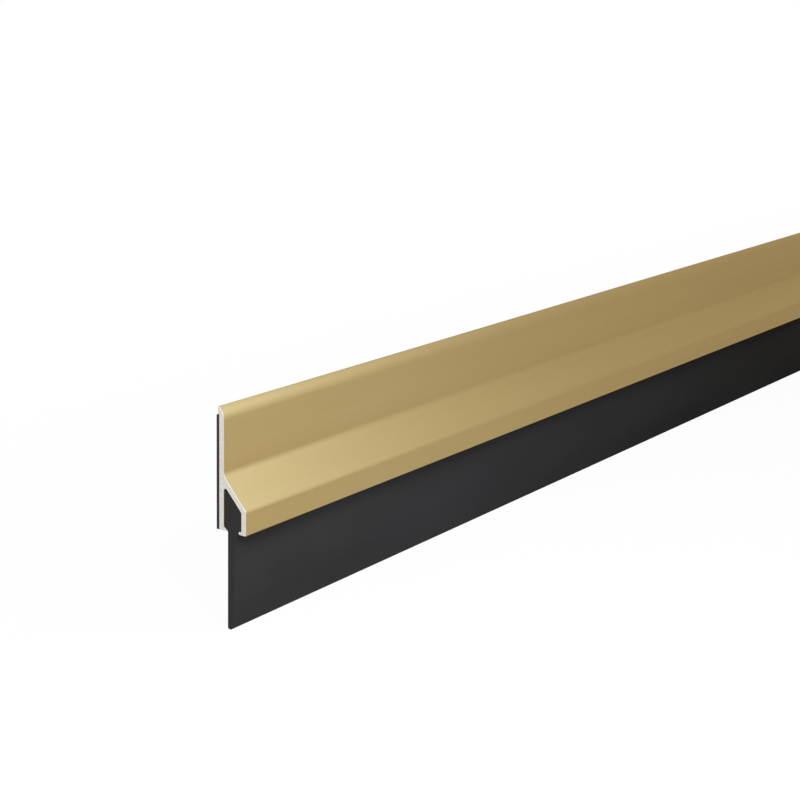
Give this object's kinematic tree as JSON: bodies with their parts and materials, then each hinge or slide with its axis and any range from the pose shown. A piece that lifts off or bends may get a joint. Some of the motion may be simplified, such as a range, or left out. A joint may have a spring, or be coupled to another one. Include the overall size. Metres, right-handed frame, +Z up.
{
  "type": "door weather strip",
  "caption": "Aluminium carrier strip with a rolled top edge and a rubber blade in its foot channel, stuck along a door's foot to seal the gap at the sill.",
  "frame": {"origin": "centre of the tape's adhesive face, which lies on the door at Y = 0", "axes": "+X along the strip, +Y from the strip into the door, -Y out of the gold front face, +Z up the door"},
  "size_m": [0.914, 0.007, 0.0423],
  "materials": {
    "gold_anodised_aluminium": "satin gold anodised, with bare cut ends",
    "black_rubber": "matte extruded",
    "black_foam_tape": "matte, tacky on the door side"
  },
  "bodies": {
    "root": {"aluminium_carrier": "gold_anodised_aluminium", "rubber_blade": "black_rubber", "adhesive_tape": "black_foam_tape"}
  },
  "joints": []
}
